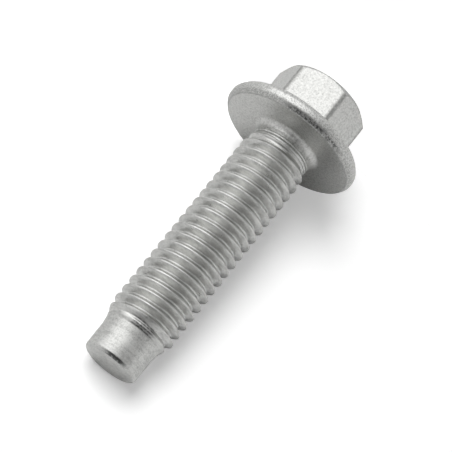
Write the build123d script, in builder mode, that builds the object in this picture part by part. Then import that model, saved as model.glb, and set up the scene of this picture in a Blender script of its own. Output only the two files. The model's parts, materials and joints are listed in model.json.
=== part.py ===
from build123d import *
from math import atan2, degrees, radians, tan
import os

# Flange bolt, forged and thread-rolled in one piece.
# The bearing face of the flange lies on the plane z = 0, the shank points along +Z
# and the head is below it, so the bolt stands on the flat top of its head.

# Shank and thread, in millimetres
thread_diameter = 8.0
thread_pitch = 1.25
thread_start_height = 3.0
half_flank_angle = 30.0
under_head_length = 32.0
neck_length = 1.3
neck_flare = 0.9

# Guide point at the free end
point_length = 4.05
point_taper_length = 1.1
point_taper = 0.25
point_edge_chamfer = 0.3
lead_in_angle = 22.5

# Head and flange
hex_across_flats = 10.0
hex_corner_radius = 0.35
head_height = 7.4
head_chamfer_angle = 30.0
flange_diameter = 16.8
rim_height = 1.75
rim_bevel = 0.4
rim_bevel_height = 0.55
flange_slope = 20.0

# Clear distance of a cutter outside the surface that it leaves
clearance = 0.06

# Radii that follow from the thread: rolled neck, foot of the groove and guide point
thread_radius = thread_diameter / 2
neck_radius = thread_radius - 0.325 * thread_pitch
crest_flat = thread_pitch / 6
root_radius = thread_radius - (thread_pitch - crest_flat) / 2 / tan(radians(half_flank_angle))
point_radius = thread_radius - 0.6 * thread_pitch

# Lead-in cone between the thread and the guide point
lead_in_foot_radius = point_radius + point_taper / 2
lead_in_foot = under_head_length - point_length
lead_in_start = lead_in_foot - (thread_radius - lead_in_foot_radius) / tan(radians(lead_in_angle))

# Flange and head radii
rim_radius = flange_diameter / 2
bearing_radius = rim_radius - rim_bevel
hex_inside_radius = 0.4 * hex_across_flats
flange_crown = rim_height + (bearing_radius - hex_inside_radius) * tan(radians(flange_slope))
top_radius = 0.465 * hex_across_flats
chamfer_drop = (rim_radius - top_radius) * tan(radians(head_chamfer_angle))

# Blank: flange, neck, thread cylinder, lead-in cone and guide point as one turned outline
with BuildPart() as bolt:
    with BuildSketch(Plane.XZ):
        with BuildLine():
            Polyline(
                (0, -flange_crown),
                (hex_inside_radius, -flange_crown),
                (bearing_radius, -rim_height),
                (rim_radius, rim_bevel_height - rim_height),
                (rim_radius, -rim_bevel_height),
                (bearing_radius, 0),
                (neck_radius + neck_flare, 0),
                (neck_radius + neck_flare / 3, neck_flare / 4),
                (neck_radius, neck_flare),
                (neck_radius, neck_length),
                (thread_radius, thread_start_height),
                (thread_radius, lead_in_start),
                (lead_in_foot_radius, lead_in_foot),
                (point_radius, lead_in_foot + point_taper_length),
                (point_radius, under_head_length - point_edge_chamfer),
                (point_radius - point_edge_chamfer, under_head_length),
                (0, under_head_length),
                close=True,
            )
        make_face()
    revolve(axis=Axis.Z)

# Hexagon of the head, its corners softened and its top turned off to a flat disc
with BuildPart() as hexagon:
    with BuildSketch(Plane.XY.offset(-head_height)) as hexagon_outline:
        RegularPolygon(hex_across_flats / 2, 6, major_radius=False, rotation=30)
        fillet(hexagon_outline.vertices(), hex_corner_radius)
    extrude(amount=head_height - rim_height)
    with BuildSketch(Plane.XZ):
        with BuildLine():
            Polyline(
                (0, -head_height),
                (top_radius, -head_height),
                (rim_radius, chamfer_drop - head_height),
                (rim_radius, 0),
                (0, 0),
                close=True,
            )
        make_face()
    revolve(axis=Axis.Z, mode=Mode.INTERSECT)

with bolt:
    add(hexagon.part)


# Cutter for one length of thread groove: a vee, open past the crest,
# carried along a right-hand helix that goes up or down from its start and may widen on the way
def groove(start_height, length, rise, way):
    mouth_radius = thread_radius + clearance
    mouth_half = (mouth_radius - root_radius) * tan(radians(half_flank_angle))
    with BuildPart() as cutter:
        with BuildLine() as path:
            Helix(
                thread_pitch,
                length,
                root_radius,
                center=(0, 0, start_height),
                direction=(0, 0, way),
                cone_angle=degrees(atan2(rise, length)),
            )
        with BuildSketch(Plane(origin=(0, 0, start_height), x_dir=(way, 0, 0), z_dir=(0, -way, 0))):
            with BuildLine():
                Polyline((root_radius, 0), (mouth_radius, -mouth_half), (mouth_radius, mouth_half), close=True)
            make_face()
        sweep(path=path.wire(), is_frenet=True)
    return cutter.part


# The groove at full depth, cut turn by turn, and its two fade-outs that rise out of the
# surface: one down to the neck and one up to the foot of the lead-in cone
thread_turns = round((lead_in_start - thread_start_height) / thread_pitch)
thread_end_height = thread_start_height + thread_turns * thread_pitch
neck_fade_rise = neck_radius - root_radius + clearance
point_fade_rise = lead_in_foot_radius - root_radius + clearance
one_turn = groove(thread_start_height, thread_pitch, 0, 1)
neck_fade = groove(thread_start_height, thread_start_height - neck_length, neck_fade_rise, -1)
point_fade = groove(thread_end_height, lead_in_foot - thread_end_height, point_fade_rise, 1)

with bolt:
    with Locations([(0, 0, turn * thread_pitch) for turn in range(thread_turns)]):
        add(one_turn, mode=Mode.SUBTRACT)
    add(neck_fade, rotation=(0, 0, 180), mode=Mode.SUBTRACT)
    add(point_fade, mode=Mode.SUBTRACT)

bolt.part.label = "flange_bolt"
os.makedirs("parts", exist_ok=True)
export_step(bolt.part, "parts/flange_bolt.step")
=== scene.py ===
import json
from math import atan, ceil, cos, hypot, pi, radians, sin, sqrt, tan

import bpy
from bpy.props import FloatProperty, FloatVectorProperty, IntProperty, PointerProperty
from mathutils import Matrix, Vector


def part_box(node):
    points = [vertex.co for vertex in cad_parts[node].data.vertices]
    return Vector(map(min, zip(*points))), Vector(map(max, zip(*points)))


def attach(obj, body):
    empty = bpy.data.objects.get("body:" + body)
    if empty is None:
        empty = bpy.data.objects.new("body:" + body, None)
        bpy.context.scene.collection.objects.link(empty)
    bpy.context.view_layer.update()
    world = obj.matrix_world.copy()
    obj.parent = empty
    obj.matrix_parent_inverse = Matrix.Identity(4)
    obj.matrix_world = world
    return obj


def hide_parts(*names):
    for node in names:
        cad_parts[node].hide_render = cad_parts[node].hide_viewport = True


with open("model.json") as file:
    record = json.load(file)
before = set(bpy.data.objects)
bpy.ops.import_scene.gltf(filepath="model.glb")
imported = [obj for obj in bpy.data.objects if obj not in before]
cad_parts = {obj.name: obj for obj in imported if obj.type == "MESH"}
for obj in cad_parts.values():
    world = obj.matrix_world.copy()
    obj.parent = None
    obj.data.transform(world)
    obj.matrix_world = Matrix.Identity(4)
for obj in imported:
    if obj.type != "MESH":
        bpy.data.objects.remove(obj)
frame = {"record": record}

bl_info = {
    "name": "Flange bolt",
    "version": (1, 0, 0),
    "blender": (4, 5, 0),
    "location": "View3D > Sidebar > Bolt",
    "description": "Models a zinc plated flange bolt with a rolled thread and sets its studio",
    "category": "Add Mesh",
}

MM = 0.001
NODE = "flange_bolt"
LOWEST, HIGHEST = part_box(NODE)
MOUNTS = {mount["name"]: mount for mount in frame["record"]["mounts"]}

# Head: how far the bearing face stays inside the rim, and the heights of the edges of the
# rim's upright band, as shares of its height
RIM_BEVEL = 0.4 * MM
RIM_EDGES = (0.68, 0.32)

# Thread: angle of a flank from level, its depth as a share of the pitch, and how far the
# rolled blank of the neck stays below the crest, also as a share of the pitch
HALF_FLANK = radians(30)
THREAD_DEPTH = 0.6134
BLANK_DEPTH = 0.325

# Guide point: angle of the lead-in cone from the axis, and how much wider its foot is
LEAD_IN_ANGLE = radians(22.5)
POINT_TAPER = 0.125 * MM

# Seams: the head ends a gap below the shank, the shank ends and the guide point starts a
# little below the foot of the lead-in cone, and loops within reach of a seam are bridged
NECK_GAP = 0.05 * MM
SHANK_END = 0.15 * MM
POINT_START = 0.1 * MM
SEAM_REACH = 0.1 * MM

# Vertices this close are one
SAME_PLACE = 0.001 * MM

# Direction of the camera round the axis, and the level direction away from it
CAMERA_SIDE = radians(106.7)
AWAY = Vector((0.288, -0.957, 0))
SENSOR_WIDTH = 36
NEAREST_SEEN = 0.01
FARTHEST_SEEN = 20

# Papers: size in metres, glow for the camera, and place and lean of the one behind the bolt
PAPER_SIZE = 6
FLOOR_GLOW = 0.88
BACKDROP_GLOW = 0.31
BACKDROP_GLOW_AT_NECK = 0.55
BACKDROP_DISTANCE = 8.5 * MM
BACKDROP_LEAN = radians(9)

# Width of the key lamp's disc, as an angle
KEY_SPREAD = radians(35)

# Pale room that metal mirrors: its level, and places that are lighter or darker. Each has its
# side round the axis, its height and its spread in degrees, and what it adds to the level.
ROOM_LEVEL = 0.78
ROOM_PLACES = {
    "screen": (146, -20, 45, 0.83),
    "low screen": (152, -52, 40, 0.45),
    "left wall": (185, -5, 60, 0.05),
    "right wall": (15, -20, 30, 0.17),
    "gap beside the screen": (64, -15, 34, -0.3),
    "behind the camera": (100, 26, 46, -0.5),
    "ceiling": (106, 90, 60, -0.3),
    "far floor": (-60, -50, 50, -0.4),
    "far right": (-25, -10, 50, -0.3),
}


class BoltSizes(bpy.types.PropertyGroup):
    """Sizes of the bolt. The bearing face of the flange lies on the plane z = 0."""

    under_head_length: FloatProperty(
        name="Length under the head",
        description="From the bearing face to the free end",
        default=HIGHEST[2],
        subtype="DISTANCE",
        unit="LENGTH",
    )
    head_height: FloatProperty(
        name="Head height",
        description="Hexagon and flange together",
        default=-LOWEST[2],
        subtype="DISTANCE",
        unit="LENGTH",
    )
    flange_diameter: FloatProperty(
        name="Flange diameter",
        description="Across the rim",
        default=HIGHEST[0] - LOWEST[0],
        subtype="DISTANCE",
        unit="LENGTH",
    )
    rim_height: FloatProperty(
        name="Rim height",
        description="Height of the flange at its rim",
        default=1.75 * MM,
        subtype="DISTANCE",
        unit="LENGTH",
    )
    flange_slope: FloatProperty(
        name="Flange slope",
        description="Slope of the flange from the rim to the hexagon",
        default=radians(20),
        subtype="ANGLE",
        unit="ROTATION",
    )
    across_flats: FloatProperty(
        name="Across flats",
        description="Width of the hexagon",
        default=10 * MM,
        subtype="DISTANCE",
        unit="LENGTH",
    )
    corner_rounding: FloatProperty(
        name="Corner rounding",
        description="Rounding of the hexagon's six upright edges",
        default=0.6 * MM,
        subtype="DISTANCE",
        unit="LENGTH",
    )
    top_diameter: FloatProperty(
        name="Top disc",
        description="Flat disc on the head inside its chamfer",
        default=9.7 * MM,
        subtype="DISTANCE",
        unit="LENGTH",
    )
    head_chamfer: FloatProperty(
        name="Head chamfer",
        description="Angle of the cone that turns off the hexagon's corners",
        default=radians(42),
        subtype="ANGLE",
        unit="ROTATION",
    )
    thread_diameter: FloatProperty(
        name="Thread diameter",
        description="Outside diameter of the thread",
        default=2 * MOUNTS["thread"]["dims"]["r_mm"] * MM,
        subtype="DISTANCE",
        unit="LENGTH",
    )
    pitch: FloatProperty(
        name="Pitch",
        description="Climb of the thread in one turn",
        default=1.25 * MM,
        subtype="DISTANCE",
        unit="LENGTH",
    )
    crest_width: FloatProperty(
        name="Crest width",
        description="Flat on the crest of the thread, as a share of the pitch",
        default=0.115,
        min=0.05,
        max=0.3,
    )
    crest_shift: FloatProperty(
        name="Crest shift",
        description="Shift of the crest towards the free end, as a share of the pitch",
        default=0.055,
        min=-0.1,
        max=0.1,
    )
    thread_full: FloatProperty(
        name="Full thread",
        description="Height above the bearing face at which a root of the full thread lies",
        default=3.0 * MM,
        subtype="DISTANCE",
        unit="LENGTH",
    )
    neck_length: FloatProperty(
        name="Neck length",
        description="Plain neck under the head, up to the first trace of the thread",
        default=1.15 * MM,
        subtype="DISTANCE",
        unit="LENGTH",
    )
    point_diameter: FloatProperty(
        name="Guide point",
        description="Diameter of the plain guide point at the free end",
        default=2 * MOUNTS["guide_point"]["dims"]["r_mm"] * MM,
        subtype="DISTANCE",
        unit="LENGTH",
    )
    point_length: FloatProperty(
        name="Guide point length",
        description="From the foot of the lead-in cone to the free end",
        default=4.05 * MM,
        subtype="DISTANCE",
        unit="LENGTH",
    )
    columns: IntProperty(
        name="Columns",
        description="Steps round the head, and so round the rest of the bolt",
        default=288,
        min=48,
    )


class FinishColours(bpy.types.PropertyGroup):
    """Colours of the plating and of the papers."""

    zinc: FloatVectorProperty(
        name="Zinc",
        description="Colour of the plating",
        default=(0.645, 0.647, 0.631),
        subtype="COLOR",
        min=0,
        max=1,
    )
    # Also the colour toward which the painted shade on the corners and the chamfer darkens the
    # plating
    zinc_dark: FloatVectorProperty(
        name="Dull zinc",
        description="Colour of the plating in its darker specks",
        default=(0.34, 0.342, 0.332),
        subtype="COLOR",
        min=0,
        max=1,
    )
    # Also the colour of the painted shade on the end edge and the lead-in cone
    worn_and_shaded: FloatVectorProperty(
        name="Worn",
        description="Colour of the dark specks where the plating is worn",
        default=(0.10, 0.10, 0.10),
        subtype="COLOR",
        min=0,
        max=1,
    )
    roughness: FloatProperty(
        name="Roughness",
        description="Roughness of the plating",
        default=0.38,
        min=0,
        max=1,
    )
    floor: FloatVectorProperty(
        name="Floor",
        description="Colour of the papers under and behind the bolt",
        default=(0.9, 0.9, 0.9),
        subtype="COLOR",
        min=0,
        max=1,
    )


class Studio(bpy.types.PropertyGroup):
    """Camera and light."""

    camera_place: FloatVectorProperty(
        name="Camera",
        description="Place of the camera",
        default=(-53.1 * MM, 178.0 * MM, 80.2 * MM),
        subtype="TRANSLATION",
        unit="LENGTH",
    )
    camera_turn: FloatVectorProperty(
        name="Camera turn",
        description="Turn of the camera about X, Y and Z",
        default=(radians(-64.752), radians(36.001), radians(32.248)),
        subtype="EULER",
        unit="ROTATION",
    )
    lens: FloatProperty(
        name="Lens",
        description="Focal length of the camera on a 36 mm sensor",
        default=146.4,
        unit="CAMERA",
    )
    key_power: FloatProperty(
        name="Key lamp",
        description="Strength of the lamp beside the camera",
        default=2.45,
        min=0,
    )
    key_side: FloatProperty(
        name="Key lamp aside",
        description="Angle of the lamp beside the camera, round the bolt",
        default=radians(23),
        subtype="ANGLE",
        unit="ROTATION",
    )
    key_rise: FloatProperty(
        name="Key lamp height",
        description="Height of the lamp beside the camera, as an angle above the floor",
        default=radians(-13),
        subtype="ANGLE",
        unit="ROTATION",
    )
    fill_level: FloatProperty(
        name="Fill",
        description="Level of the light from all round",
        default=0.16,
        min=0,
    )


class Value:
    """A number in a node tree. Arithmetic on it adds Math nodes."""

    def __init__(self, tree, socket):
        self.tree = tree
        self.socket = socket

    def math(self, operation, *inputs):
        node = self.tree.nodes.new("ShaderNodeMath")
        node.operation = operation
        for number, value in enumerate(inputs):
            if isinstance(value, Value):
                self.tree.links.new(value.socket, node.inputs[number])
            else:
                node.inputs[number].default_value = value
        return Value(self.tree, node.outputs[0])

    def __add__(self, other):
        return self.math("ADD", self, other)

    def __radd__(self, other):
        return self.math("ADD", other, self)

    def __sub__(self, other):
        return self.math("SUBTRACT", self, other)

    def __rsub__(self, other):
        return self.math("SUBTRACT", other, self)

    def __mul__(self, other):
        return self.math("MULTIPLY", self, other)

    def __rmul__(self, other):
        return self.math("MULTIPLY", other, self)

    def __truediv__(self, other):
        return self.math("DIVIDE", self, other)

    def __mod__(self, other):
        return self.math("MODULO", self, other)

    def __pow__(self, other):
        return self.math("POWER", self, other)

    def __abs__(self):
        return self.math("ABSOLUTE", self)

    def sine(self):
        return self.math("SINE", self)

    def clamp(self):
        return self.math("MINIMUM", self.math("MAXIMUM", self, 0.0), 1.0)

    def ease(self, low, high):
        """0 below low, 1 above high and an even ease between them."""
        share = ((self - low) / (high - low)).clamp()
        return share * share * (3.0 - share * 2.0)

    def between(self, low, full, falling, gone):
        """1 from full to falling, with an even ease to 0 at low and at gone."""
        return self.ease(low, full) * (1 - self.ease(falling, gone))


class Nodes:
    """A node tree that is written as expressions."""

    def __init__(self, owner):
        owner.use_nodes = True
        self.tree = owner.node_tree
        self.tree.nodes.clear()

    def add(self, kind, settings=None, output=0, **sockets):
        """Adds one node. Settings are set first, then each socket gets its value or link.

        A socket is given by its name, with _ for a space, or by its number as n0, n1 and so on.
        """
        node = self.tree.nodes.new(kind)
        for key, value in (settings or {}).items():
            setattr(node, key, value)
        for key, value in sockets.items():
            numbered = key[0] == "n" and key[1:].isdigit()
            socket = node.inputs[int(key[1:]) if numbered else key.replace("_", " ")]
            if isinstance(value, Value):
                self.tree.links.new(value.socket, socket)
            else:
                socket.default_value = value
        return Value(self.tree, node.outputs[output]) if node.outputs else None

    def object_place(self):
        """The place in the object's own coordinates, and its X, Y and Z."""
        place = self.add("ShaderNodeTexCoord", output=3)
        axes = (self.add("ShaderNodeSeparateXYZ", output=axis, Vector=place) for axis in range(3))
        return (place, *axes)

    def noise(self, place, size, detail=3.0):
        """Even noise with features of about that size in metres."""
        return self.add(
            "ShaderNodeTexNoise",
            {"noise_dimensions": "3D"},
            Vector=place,
            Scale=1 / size,
            Detail=detail,
            Roughness=0.6,
        )

    def mix_colour(self, factor, low, high):
        """A colour between low and high."""
        low, high = (end if isinstance(end, Value) else (*end, 1.0) for end in (low, high))
        return self.add("ShaderNodeMix", {"data_type": "RGBA"}, 2, n0=factor, n6=low, n7=high)


# Drawing by hand: outlines, turning and joining

def start_clean():
    """Leaves edit mode and deselects everything."""
    if bpy.context.object and bpy.context.object.mode != "OBJECT":
        bpy.ops.object.mode_set(mode="OBJECT")
    bpy.ops.object.select_all(action="DESELECT")


def rounded(corners):
    """The outline through corners (radius, height, rounding, steps), rounded where they say so."""
    points = []
    for number, (x, z, rounding, steps) in enumerate(corners):
        here = Vector((x, z))
        if not rounding:
            points.append((x, z))
            continue
        before = (Vector(corners[number - 1][:2]) - here).normalized()
        after = (Vector(corners[number + 1][:2]) - here).normalized()
        half = before.angle(after) / 2
        centre = here + (before + after).normalized() * rounding / sin(half)
        start = here + before * rounding / tan(half) - centre
        end = here + after * rounding / tan(half) - centre
        for step in range(steps + 1):
            points.append(tuple(centre + rounding * start.slerp(end, step / steps)))
    return points


def draw_outline(name, points):
    """A chain of edges in the XZ plane, drawn by extruding one vertex from point to point."""
    start_clean()
    bpy.ops.mesh.primitive_plane_add(size=MM, location=(0, 0, 0))
    piece = bpy.context.object
    piece.name = name
    bpy.ops.object.mode_set(mode="EDIT")
    bpy.ops.mesh.select_all(action="SELECT")
    bpy.ops.mesh.merge(type="CENTER")
    bpy.ops.transform.translate(value=(points[0][0], 0, points[0][1]))
    for (x, z), (next_x, next_z) in zip(points, points[1:]):
        step = (next_x - x, 0, next_z - z)
        bpy.ops.mesh.extrude_region_move(TRANSFORM_OT_translate={"value": step})
    bpy.ops.object.mode_set(mode="OBJECT")
    return piece


def turn_outline(name, points, columns):
    """A turned part: the outline is spun once round the axis and closed."""
    piece = draw_outline(name, points)
    bpy.ops.object.mode_set(mode="EDIT")
    bpy.ops.mesh.select_all(action="SELECT")
    bpy.ops.mesh.spin(steps=columns, angle=2 * pi, center=(0, 0, 0), axis=(0, 0, 1))
    bpy.ops.mesh.select_all(action="SELECT")
    bpy.ops.mesh.remove_doubles(threshold=SAME_PLACE)
    bpy.ops.object.mode_set(mode="OBJECT")
    return piece


def join(name, pieces):
    """Makes one mesh of several."""
    start_clean()
    for piece in pieces:
        piece.select_set(True)
    bpy.context.view_layer.objects.active = pieces[0]
    bpy.ops.object.join()
    pieces[0].name = name
    pieces[0].data.name = name
    return pieces[0]


def bridge_seam(piece, height):
    """Bridges the two open loops that lie at about that height."""
    bpy.ops.object.mode_set(mode="EDIT")
    bpy.ops.mesh.select_mode(type="VERT")
    bpy.ops.mesh.select_all(action="DESELECT")
    bpy.ops.mesh.select_non_manifold(
        extend=False,
        use_wire=False,
        use_boundary=True,
        use_multi_face=False,
        use_non_contiguous=False,
        use_verts=False,
    )
    bpy.ops.object.mode_set(mode="OBJECT")
    vertices = piece.data.vertices
    for vertex in vertices:
        vertex.select = vertex.select and abs(vertex.co.z - height) < SEAM_REACH
    for edge in piece.data.edges:
        edge.select = edge.select and all(vertices[end].select for end in edge.vertices)
    bpy.ops.object.mode_set(mode="EDIT")
    bpy.ops.mesh.select_mode(type="EDGE")
    bpy.ops.mesh.bridge_edge_loops()
    bpy.ops.object.mode_set(mode="OBJECT")


def smooth_step(value, low, high):
    """0 below low, 1 above high and an even ease between them."""
    share = min(1.0, max(0.0, (value - low) / (high - low)))
    return share * share * (3 - 2 * share)


# Head: one outline through a flat of the hexagon, turned and then pushed out to the corners

def neck_radius(sizes):
    """Radius of the rolled blank."""
    return sizes.thread_diameter / 2 - BLANK_DEPTH * sizes.pitch


def bearing_radius(sizes):
    """Radius of the flat bearing face, inside the bevel of the rim."""
    return sizes.flange_diameter / 2 - RIM_BEVEL


def slope_top(sizes):
    """Height at which the slope of the flange meets a flat of the hexagon."""
    run = bearing_radius(sizes) - sizes.across_flats / 2
    return -sizes.rim_height - run * tan(sizes.flange_slope)


def head_outline(sizes):
    """Outline from the centre of the top to the neck, through the middle of a flat."""
    flat = sizes.across_flats / 2
    top = -sizes.head_height
    top_radius = sizes.top_diameter / 2
    chamfer_foot = top + (flat - top_radius) * tan(sizes.head_chamfer)
    rim = sizes.flange_diameter / 2
    rim_top, rim_foot = (-share * sizes.rim_height for share in RIM_EDGES)
    bearing = bearing_radius(sizes)
    neck = neck_radius(sizes)
    return rounded([
        # Top disc and chamfer
        (0, top, 0, 0),
        (top_radius / 2, top, 0, 0),
        (top_radius, top, 0.12 * MM, 3),
        (flat, chamfer_foot, 0.1 * MM, 3),
        # Foot of the hexagon, slope and rim
        (flat, slope_top(sizes), 0.35 * MM, 5),
        (bearing, -sizes.rim_height, 0.5 * MM, 4),
        (rim, rim_top, 0.5 * MM, 4),
        (rim, rim_foot, 0.5 * MM, 4),
        # Bearing face and the flare into the neck
        (bearing, 0, 0.35 * MM, 4),
        (bearing - 1.5 * MM, 0, 0, 0),
        (neck, 0, 0.75 * MM, 8),
        (neck, sizes.neck_length - NECK_GAP, 0, 0),
    ])


def hexagon_radius(sizes, angle):
    """Distance from the axis to the hexagon's side in that direction."""
    flat = sizes.across_flats / 2
    rounding = sizes.corner_rounding
    off_flat = abs((angle + pi / 6) % (pi / 3) - pi / 6)
    if off_flat < atan((flat - rounding) * tan(pi / 6) / flat):
        return flat / cos(off_flat)
    corner = (flat - rounding) / cos(pi / 6)
    off_corner = pi / 6 - off_flat
    return corner * cos(off_corner) + sqrt(rounding ** 2 - (corner * sin(off_corner)) ** 2)


def push_to_corners(sizes, piece):
    """Moves the turned boss out to the hexagon. The chamfer and the slope keep their cones."""
    flat = sizes.across_flats / 2
    bearing = bearing_radius(sizes)
    chamfer_end = -sizes.head_height + 0.4 * MM
    slope_start = slope_top(sizes)
    fillet_end = flat + 0.26 * MM
    flange_top = -sizes.rim_height - 0.05 * MM
    disc_edge = (sizes.top_diameter / 2 + flat) / 2
    for vertex in piece.data.vertices:
        radius = hypot(vertex.co.x, vertex.co.y)
        if vertex.co.z > flange_top or radius < disc_edge:
            continue
        outward = vertex.co.xy.normalized()
        push = hexagon_radius(sizes, outward.angle_signed(Vector((1, 0)))) - flat
        if radius > fillet_end:
            push *= max(0, (bearing - radius) / (bearing - fillet_end))
        share = min(1, max(0, (vertex.co.z - chamfer_end) / (slope_start - chamfer_end)))
        drop = push * (tan(sizes.head_chamfer) * (1 - share) + tan(sizes.flange_slope) * share)
        vertex.co += Vector((outward.x * push, outward.y * push, drop))


# Shank: one pitch of thread carried up a screw, faded out at both ends and cut off level

def thread_outline(sizes, start):
    """One pitch of rolled thread, from flank to flank: narrow crest, sloped flanks, round root."""
    crest = sizes.thread_diameter / 2
    pitch = sizes.pitch
    middle = crest - 0.3 * pitch
    lean = tan(HALF_FLANK)
    low_edge = start + (0.5 - sizes.crest_width / 2 + sizes.crest_shift) * pitch
    high_edge = low_edge + sizes.crest_width * pitch
    flank_start = low_edge - (crest - middle) * lean
    crest_rounding = 0.03 * pitch
    root_tip = crest - (1 - sizes.crest_width) * pitch / 2 / lean
    root_rounding = crest - THREAD_DEPTH * pitch - root_tip
    return rounded([
        (middle, flank_start, 0, 0),
        (crest, low_edge, crest_rounding, 2),
        (crest, high_edge, crest_rounding, 2),
        (root_tip, (low_edge + high_edge) / 2 + pitch / 2, root_rounding, 6),
        (middle, flank_start + pitch, 0, 0),
    ])


def cone_foot(sizes):
    """Height of the foot of the lead-in cone, where the guide point begins."""
    return sizes.under_head_length - sizes.point_length


def lead_in_cone(sizes, height):
    """Radius of the blank at that height: thread cylinder, then the cone to the guide point."""
    foot_radius = sizes.point_diameter / 2 + POINT_TAPER
    cone = foot_radius + (cone_foot(sizes) - height) * tan(LEAD_IN_ANGLE)
    return min(sizes.thread_diameter / 2, cone)


def fade_thread(sizes, piece, lowest, highest):
    """Lets the thread sink into the neck at one end and into the lead-in cone at the other."""
    neck = neck_radius(sizes)
    full_above = sizes.thread_full + 0.3 * MM
    sinks_above = highest - 1.3 * MM
    for vertex in piece.data.vertices:
        radius = hypot(vertex.co.x, vertex.co.y)
        height = vertex.co.z
        depth = smooth_step(height, lowest, full_above)
        cone = lead_in_cone(sizes, height)
        faded = min(neck + (radius - neck) * depth, cone)
        left = 1 - smooth_step(height, sinks_above, highest)
        faded = cone - (cone - faded) * left
        vertex.co.x *= faded / radius
        vertex.co.y *= faded / radius


def cut_level(piece, height, side):
    """Cuts the mesh off at that height and keeps what lies on that side, 1 above or -1 below."""
    start_clean()
    piece.select_set(True)
    bpy.context.view_layer.objects.active = piece
    bpy.ops.object.mode_set(mode="EDIT")
    bpy.ops.mesh.select_all(action="SELECT")
    bpy.ops.mesh.bisect(
        plane_co=(0, 0, height),
        plane_no=(0, 0, side),
        clear_inner=True,
        threshold=SAME_PLACE / 10,
    )
    bpy.ops.object.mode_set(mode="OBJECT")


def shank_mesh(sizes):
    """The threaded shank between the neck and the foot of the lead-in cone."""
    bottom = sizes.neck_length
    top = cone_foot(sizes) - SHANK_END
    below = ceil((sizes.thread_full - bottom) / sizes.pitch) + 1
    start = sizes.thread_full - below * sizes.pitch
    shank = draw_outline("shank", thread_outline(sizes, start))
    bpy.ops.object.modifier_add(type="SCREW")
    screw = shank.modifiers[-1]
    screw.axis = "Z"
    screw.angle = 2 * pi
    screw.screw_offset = sizes.pitch
    screw.iterations = ceil((top - start) / sizes.pitch) + 1
    screw.steps = screw.render_steps = sizes.columns // 2
    screw.use_merge_vertices = True
    screw.merge_threshold = SAME_PLACE
    bpy.ops.object.modifier_apply(modifier=screw.name)
    bpy.ops.object.mode_set(mode="EDIT")
    bpy.ops.mesh.select_all(action="SELECT")
    bpy.ops.mesh.remove_doubles(threshold=SAME_PLACE)
    bpy.ops.object.mode_set(mode="OBJECT")
    fade_thread(sizes, shank, bottom, top)
    cut_level(shank, bottom, 1)
    cut_level(shank, top, -1)
    return shank


def point_outline(sizes):
    """Outline from the lead-in cone to the centre of the end face."""
    foot = cone_foot(sizes)
    start = foot - POINT_START
    point = sizes.point_diameter / 2
    end = sizes.under_head_length
    return rounded([
        (lead_in_cone(sizes, start), start, 0, 0),
        (lead_in_cone(sizes, foot), foot, 0.12 * MM, 3),
        (point, foot + 1.1 * MM, 1.0 * MM, 3),
        (point, end, 0.45 * MM, 6),
        (point / 2, end, 0, 0),
        (0, end, 0, 0),
    ])


# Finish: zinc plating with its mottle and dark specks, and painted shade down the hexagon's
# corners, on its chamfer, on the end edge and on the lead-in cone

class Plating:
    """Places on the bolt and patterns of its plating, as values in the material's nodes."""

    def __init__(self, nodes, sizes):
        place, x, y, z = nodes.object_place()
        radius = (x * x + y * y) ** 0.5
        end = sizes.under_head_length
        chamfer_cone = (radius - sizes.top_diameter / 2) * tan(sizes.head_chamfer)
        self.radius, self.z = radius, z
        self.angle = x.math("ARCTAN2", y, x)

        # Patterns, from the widest to the finest, and lines that run round the shank
        self.cloud = nodes.noise(place, 1.6 * MM)
        self.speck = nodes.noise(place, 0.26 * MM, 2.0)
        self.grain = nodes.noise(place, 0.12 * MM, 1.0)
        stretched = nodes.add("ShaderNodeMapping", Vector=place, Scale=(0.16, 0.16, 1))
        self.lines = (nodes.noise(stretched, 0.2 * MM, 1.0) - 0.5) * z.ease(0.4 * MM, 1.2 * MM)

        # Head and flange
        self.past_hexagon = z.ease(-2.6 * MM, -2.2 * MM)
        self.past_chamfer = (z + sizes.head_height - chamfer_cone).ease(0.03 * MM, 0.14 * MM)
        self.flange_edge = radius.ease(7.5 * MM, 8.0 * MM)
        self.rim = radius.ease(7.95 * MM, 8.1 * MM) * z.between(-0.6 * MM, -0.3 * MM, -0.05 * MM, 0)
        self.bearing_edge = radius.between(7.82 * MM, 7.88 * MM, 7.98 * MM, 8.06 * MM)
        self.bearing_edge = self.bearing_edge * z.ease(-0.3 * MM, -0.2 * MM)

        # Shank, from the neck to the edge of the end face
        self.neck = z.between(1.0 * MM, 1.2 * MM, 2.3 * MM, 2.8 * MM)
        self.guide_point = z.ease(end - 4.2 * MM, end - 4 * MM)
        self.thread = z.ease(1 * MM, 2 * MM) * (1 - self.guide_point)
        self.cone = z.between(end - 5.2 * MM, end - 4.9 * MM, end - 4.1 * MM, end - 4 * MM)
        self.end_edge = z.ease(end - 0.42 * MM, end - 0.3 * MM)
        self.end_edge = self.end_edge * radius.ease(2.85 * MM, 2.95 * MM)

    def side(self, centre, full, gone):
        """1 within full degrees of that direction round the axis, and 0 from gone degrees."""
        return 1 - abs(self.angle - radians(centre)).ease(radians(full), radians(gone))

    def ripple(self, spacing, shift=0.0):
        """Even rings round the axis at that spacing, from -1 to 1."""
        return (self.z * (2 * pi / spacing) + shift).sine()


def corner_painted_shade(at):
    """Painted shade: dark lines down the corners of the hexagon, which stand in for a dark
    reflection there.
    """
    off_corner = abs((at.angle + 4 * pi) % (pi / 3) - pi / 6)
    line = (1 - off_corner.ease(radians(0.5), radians(5))) * (1 - at.past_hexagon)
    return line * at.radius.between(5.1 * MM, 5.3 * MM, 5.75 * MM, 5.9 * MM) * at.past_chamfer


def chamfer_painted_shade(at):
    """Painted shade on the cone that turns off the corners, and on a thin line of the flats just
    above it: a dark reflection painted in.
    """
    cone = (1 - at.past_chamfer) * (1 - at.z.ease(-5.5 * MM, -5 * MM))
    return cone * at.radius.ease(4.5 * MM, 4.7 * MM)


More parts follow.
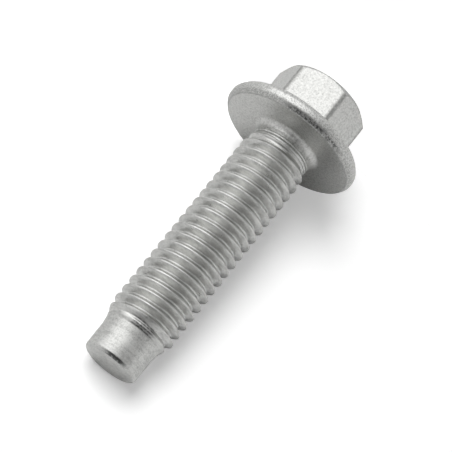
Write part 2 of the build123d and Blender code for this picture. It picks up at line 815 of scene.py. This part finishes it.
def wear_and_painted_shade(at):
    """Dark specks on the rim's side toward the camera and round the bearing face's edge, and
    painted shade on the side toward the camera: a dark reflection painted on the end edge, and dark
    streaks on the lead-in cone.
    """
    blot = (at.speck * 0.7 + at.grain * 0.3).ease(0.44, 0.56)
    rings = at.ripple(0.26 * MM, at.speck * 3) * 0.35 + at.speck.ease(0.35, 0.55) * 0.5 + 0.15
    rim = at.rim * at.side(98, 18, 36) * blot
    # Painted shade: the dark band on the end edge and the streaks on the cone stand in for a dark
    # reflection
    end_edge = at.end_edge * at.side(105, 10, 32) * at.speck.ease(0.3, 0.5)
    cone = at.cone * at.side(100, 14, 36) * rings
    return (rim + end_edge + cone + at.bearing_edge * blot * 0.5).clamp()


def zinc_material(sizes, colours):
    """Bright zinc plating: matt and mottled, with a fine grain and dark specks, and painted shade
    on the corners, the chamfer, the end edge and the lead-in cone.
    """
    material = bpy.data.materials.new("zinc plating")
    nodes = Nodes(material)
    at = Plating(nodes, sizes)
    cloud, speck, grain = at.cloud - 0.5, at.speck - 0.5, at.grain - 0.5

    # Strength of the mottle: full on the flange and the guide point, weaker elsewhere
    strength = 0.85 + at.past_hexagon * 0.15 - at.thread * 0.62
    mottle = speck * (2.3 - at.guide_point) + cloud * 0.6 + grain * (1.4 + at.flange_edge * 3.2)
    mottle = mottle * strength + at.lines * (1.5 - at.guide_point * 0.5)
    # Painted shade down the hexagon's corners and on its chamfer, and a darker band low on the rim
    # all round
    painted_shade_and_dark_rim = corner_painted_shade(at) * 0.7 + chamfer_painted_shade(at) * 0.5 + at.rim * 0.3
    plated = nodes.mix_colour((mottle + 0.74 - painted_shade_and_dark_rim).clamp(), colours.zinc_dark, colours.zinc)

    # Turned rings on the neck stand out in the relief
    relief = (at.speck + at.grain) * 0.55 * strength + at.ripple(0.36 * MM) * at.neck * 2.4
    relief = relief + at.lines * 0.8
    surface = nodes.add(
        "ShaderNodeBsdfPrincipled",
        # Base colour: the plating, darkened by specks and by painted shade
        Base_Color=nodes.mix_colour(wear_and_painted_shade(at), plated, colours.worn_and_shaded),
        Metallic=1.0,
        Roughness=colours.roughness - at.thread * 0.08 + cloud * 0.12 + speck * 0.2 * strength,
        Normal=nodes.add("ShaderNodeBump", Strength=0.4, Distance=0.03 * MM, Height=relief),
    )
    nodes.add("ShaderNodeOutputMaterial", Surface=surface)
    return material


class MESH_OT_flange_bolt(bpy.types.Operator):
    """Model the bolt: hexagon head with flange, rolled thread and guide point"""

    bl_idname = "mesh.flange_bolt"
    bl_label = "Flange bolt"

    def execute(self, context):
        sizes = context.scene.bolt_sizes
        head = turn_outline("head", head_outline(sizes), sizes.columns)
        push_to_corners(sizes, head)
        shank = shank_mesh(sizes)
        point = turn_outline("point", point_outline(sizes), sizes.columns // 2)
        bolt = join("bolt", [head, shank, point])
        bridge_seam(bolt, sizes.neck_length)
        bridge_seam(bolt, cone_foot(sizes) - (SHANK_END + POINT_START) / 2)
        bpy.ops.object.mode_set(mode="EDIT")
        bpy.ops.mesh.select_all(action="SELECT")
        bpy.ops.mesh.remove_doubles(threshold=SAME_PLACE / 2)
        bpy.ops.mesh.normals_make_consistent(inside=False)
        bpy.ops.object.mode_set(mode="OBJECT")
        bpy.ops.object.shade_smooth()
        bpy.ops.object.modifier_add(type="WEIGHTED_NORMAL")
        bpy.ops.object.modifier_apply(modifier=bolt.modifiers[-1].name)
        bolt.data.materials.append(zinc_material(sizes, context.scene.finish_colours))
        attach(bolt, "root")
        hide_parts(NODE)
        return {"FINISHED"}


# Studio: white paper, even light from all round and one lamp beside the camera

def paper_material(name, colours, glow, glow_at_neck):
    """White paper that keeps the bolt's shadow and is see-through from behind.

    It glows a little for the camera, and by another amount beside the neck.
    """
    material = bpy.data.materials.new(name)
    nodes = Nodes(material)
    seen = nodes.add("ShaderNodeLightPath", output=0)
    back = nodes.add("ShaderNodeNewGeometry", output=6)
    paper = nodes.add("ShaderNodeBsdfDiffuse", Color=(*colours.floor, 1.0))
    _, x, y, z = nodes.object_place()
    aside = x * AWAY.y - y * AWAY.x
    # Painted light: beside the neck the paper glows more, which wipes out the shadow that the
    # flange casts there
    at_neck = aside.ease(2.6 * MM, 5 * MM) * (1 - z.ease(6 * MM, 11 * MM))
    gleam = nodes.mix_colour(at_neck, (glow,) * 3, (glow_at_neck,) * 3)
    lift = nodes.add("ShaderNodeEmission", Color=gleam, Strength=seen)
    front = nodes.add("ShaderNodeAddShader", n0=paper, n1=lift)
    clear = nodes.add("ShaderNodeBsdfTransparent")
    surface = nodes.add("ShaderNodeMixShader", n0=back, n1=front, n2=clear)
    nodes.add("ShaderNodeOutputMaterial", Surface=surface)
    return material


def heading(side, rise):
    """The direction at those angles round the axis and above the floor."""
    return (cos(rise) * cos(side), cos(rise) * sin(side), sin(rise))


def lobe(nodes, direction, side, rise, spread):
    """1 toward the heading at those degrees and an even fall to 0 at spread degrees from it."""
    toward = heading(radians(side), radians(rise))
    product = {"operation": "DOT_PRODUCT"}
    facing = nodes.add("ShaderNodeVectorMath", product, 1, n0=direction, n1=toward)
    return facing.ease(cos(radians(spread)), 1)


def light_world(studio):
    """Even light from all round. The camera sees white, and metal mirrors a pale room."""
    world = bpy.data.worlds.new("studio")
    bpy.context.scene.world = world
    nodes = Nodes(world)
    seen = nodes.add("ShaderNodeLightPath", output=0)
    mirrored = nodes.add("ShaderNodeLightPath", output=3)
    through = nodes.add("ShaderNodeLightPath", output=6)
    direction = nodes.add("ShaderNodeTexCoord", output=0)
    room = ROOM_LEVEL
    for side, rise, spread, level in ROOM_PLACES.values():
        room = room + lobe(nodes, direction, side, rise, spread) * level
    lighting = 1 - (seen + mirrored + through).clamp()
    strength = seen + mirrored * room + through + lighting * studio.fill_level
    white = (1.0, 1.0, 1.0, 1.0)
    background = nodes.add("ShaderNodeBackground", Color=white, Strength=strength)
    nodes.add("ShaderNodeOutputWorld", Surface=background)


def add_paper(name, material, place, turn):
    """A wide plane of paper that casts no shadow."""
    start_clean()
    bpy.ops.mesh.primitive_plane_add(size=PAPER_SIZE, location=place, rotation=turn)
    paper = bpy.context.object
    paper.name = name
    bpy.ops.object.transform_apply(location=True, rotation=True, scale=True)
    paper.data.materials.append(material)
    paper.visible_shadow = False
    return paper


def add_floor(colours, height):
    """Paper under the head. Metal doesn't mirror it."""
    material = paper_material("floor paper", colours, FLOOR_GLOW, FLOOR_GLOW)
    floor = add_paper("paper floor", material, (0, 0, height), (0, 0, 0))
    floor.visible_glossy = False
    return floor


def add_backdrop(colours):
    """Paper behind the bolt. It leans over until it nearly meets the flange and the guide point."""
    material = paper_material("backdrop paper", colours, BACKDROP_GLOW, BACKDROP_GLOW_AT_NECK)
    turn = (-pi / 2 - BACKDROP_LEAN, 0, CAMERA_SIDE - pi / 2)
    backdrop = add_paper("paper backdrop", material, AWAY * BACKDROP_DISTANCE, turn)
    backdrop.visible_diffuse = False
    return backdrop


def add_camera(studio):
    """The camera, in front of the bolt and above it."""
    start_clean()
    bpy.ops.object.camera_add(location=studio.camera_place, rotation=studio.camera_turn)
    camera = bpy.context.object
    camera.name = "camera"
    camera.data.sensor_width = SENSOR_WIDTH
    camera.data.lens = studio.lens
    camera.data.clip_start = NEAREST_SEEN
    camera.data.clip_end = FARTHEST_SEEN
    bpy.context.scene.camera = camera


def add_key_lamp(studio):
    """One distant lamp beside the camera. Metal doesn't mirror it."""
    start_clean()
    toward = Vector(heading(CAMERA_SIDE + studio.key_side, studio.key_rise))
    bpy.ops.object.light_add(type="SUN", rotation=toward.to_track_quat("Z", "Y").to_euler())
    lamp = bpy.context.object
    lamp.name = "key lamp"
    lamp.data.energy = studio.key_power
    lamp.data.angle = KEY_SPREAD
    lamp.visible_glossy = False


class SCENE_OT_bolt_studio(bpy.types.Operator):
    """Set the papers, the lamp, the room and the camera"""

    bl_idname = "scene.bolt_studio"
    bl_label = "Studio"

    def execute(self, context):
        scene = context.scene
        scene.view_settings.view_transform = "Standard"
        add_camera(scene.studio)
        light_world(scene.studio)
        floor = add_floor(scene.finish_colours, -scene.bolt_sizes.head_height)
        add_key_lamp(scene.studio)
        add_backdrop(scene.finish_colours)
        return {"FINISHED"}


class VIEW3D_PT_bolt(bpy.types.Panel):
    """Lists the bolt, its studio and their sizes"""

    bl_idname = "VIEW3D_PT_bolt"
    bl_label = "Flange bolt"
    bl_space_type = "VIEW_3D"
    bl_region_type = "UI"
    bl_category = "Bolt"

    def draw(self, context):
        scene = context.scene
        layout = self.layout
        layout.operator(MESH_OT_flange_bolt.bl_idname)
        layout.operator(SCENE_OT_bolt_studio.bl_idname)
        for group in (scene.bolt_sizes, scene.finish_colours, scene.studio):
            box = layout.box()
            for name in group.bl_rna.properties.keys():
                if name not in ("name", "rna_type"):
                    box.prop(group, name)


CLASSES = (
    BoltSizes,
    FinishColours,
    Studio,
    MESH_OT_flange_bolt,
    SCENE_OT_bolt_studio,
    VIEW3D_PT_bolt,
)


def register():
    for cls in CLASSES:
        bpy.utils.register_class(cls)
    bpy.types.Scene.bolt_sizes = PointerProperty(type=BoltSizes)
    bpy.types.Scene.finish_colours = PointerProperty(type=FinishColours)
    bpy.types.Scene.studio = PointerProperty(type=Studio)


def unregister():
    del bpy.types.Scene.studio
    del bpy.types.Scene.finish_colours
    del bpy.types.Scene.bolt_sizes
    for cls in reversed(CLASSES):
        bpy.utils.unregister_class(cls)


def main():
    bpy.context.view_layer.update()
    register()
    bpy.ops.mesh.flange_bolt()
    bpy.ops.scene.bolt_studio()


if __name__ == "__main__":
    main()
